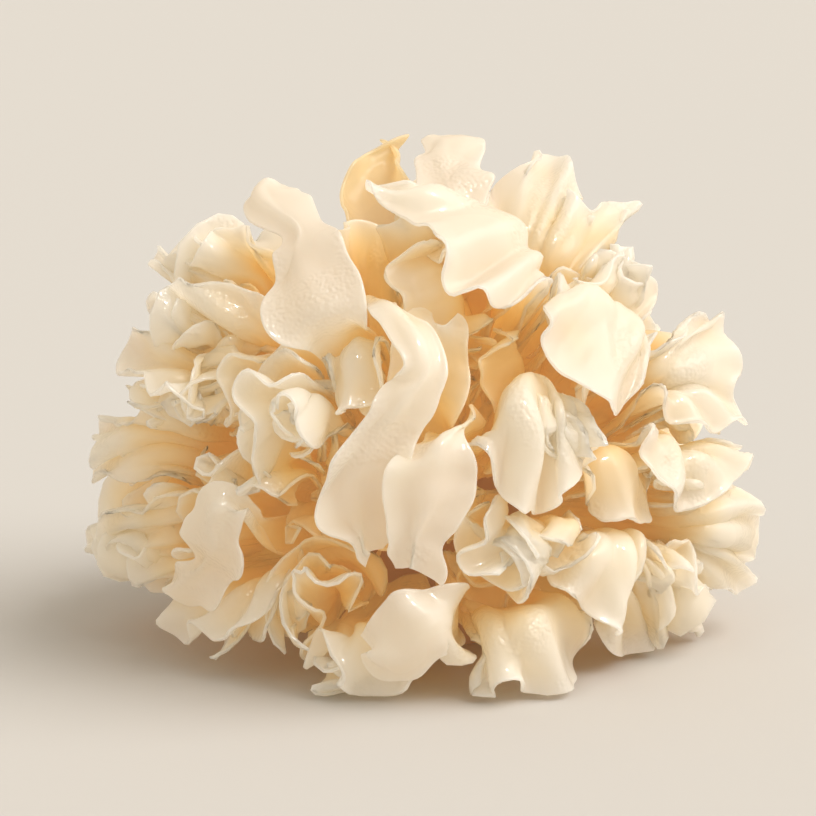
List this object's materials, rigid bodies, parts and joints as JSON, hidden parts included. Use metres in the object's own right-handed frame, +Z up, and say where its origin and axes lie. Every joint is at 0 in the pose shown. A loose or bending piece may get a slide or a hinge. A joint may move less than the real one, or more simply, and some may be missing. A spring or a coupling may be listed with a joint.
{
  "type": "snow fungus",
  "caption": "Soaked snow fungus: a dome of thin translucent frilled fronds on a short base, cut flat beneath.",
  "frame": {"origin": "centre of the flat cut under the base", "axes": "+Z up out of the cut, +X to the right and -Y towards the viewer of the picture"},
  "size_m": [0.1287, 0.1105, 0.0927],
  "materials": {
    "frond": "wet translucent jelly, cream with paler rims and amber depths",
    "base": "tough amber jelly, matt on the cut"
  },
  "bodies": {
    "root": {"apron": "frond", "arch": "frond", "back_high_1": "frond", "back_high_2": "frond", "back_high_3": "frond", "back_high_4": "frond", "back_low_1": "frond", "back_low_2": "frond", "back_low_3": "frond", "back_low_4": "frond", "back_low_5": "frond", "back_low_6": "frond", "back_low_7": "frond", "back_mid_1": "frond", "back_mid_2": "frond", "back_mid_3": "frond", "back_mid_4": "frond", "back_mid_5": "frond", "back_mid_6": "frond", "back_mid_7": "frond", "back_top_1": "frond", "base": "base", "column": "frond", "crown": "frond", "crown_left": "frond", "crumple": "frond", "gill": "frond", "heart_back": "frond", "hem_right": "frond", "inner_left": "frond", "inner_right": "frond", "left_cheek": "frond", "left_cheek_back": "frond", "left_crest": "frond", "left_ear": "frond", "left_field": "frond", "left_fold": "frond", "left_hem": "frond", "left_low": "frond", "left_ribbon": "frond", "left_temple": "frond", "lip": "frond", "oyster": "frond", "peak": "frond", "ribbon": "frond", "right_brow": "frond", "right_cheek": "frond", "right_field": "frond", "right_flank": "frond", "right_jaw": "frond", "right_low": "frond", "right_shoulder": "frond", "saucer": "frond", "scroll_face": "frond", "skirt_right": "frond", "swan_neck": "frond", "tan_leaf": "frond", "tongue": "frond", "top_right": "frond", "under_crown": "frond"}
  },
  "joints": []
}
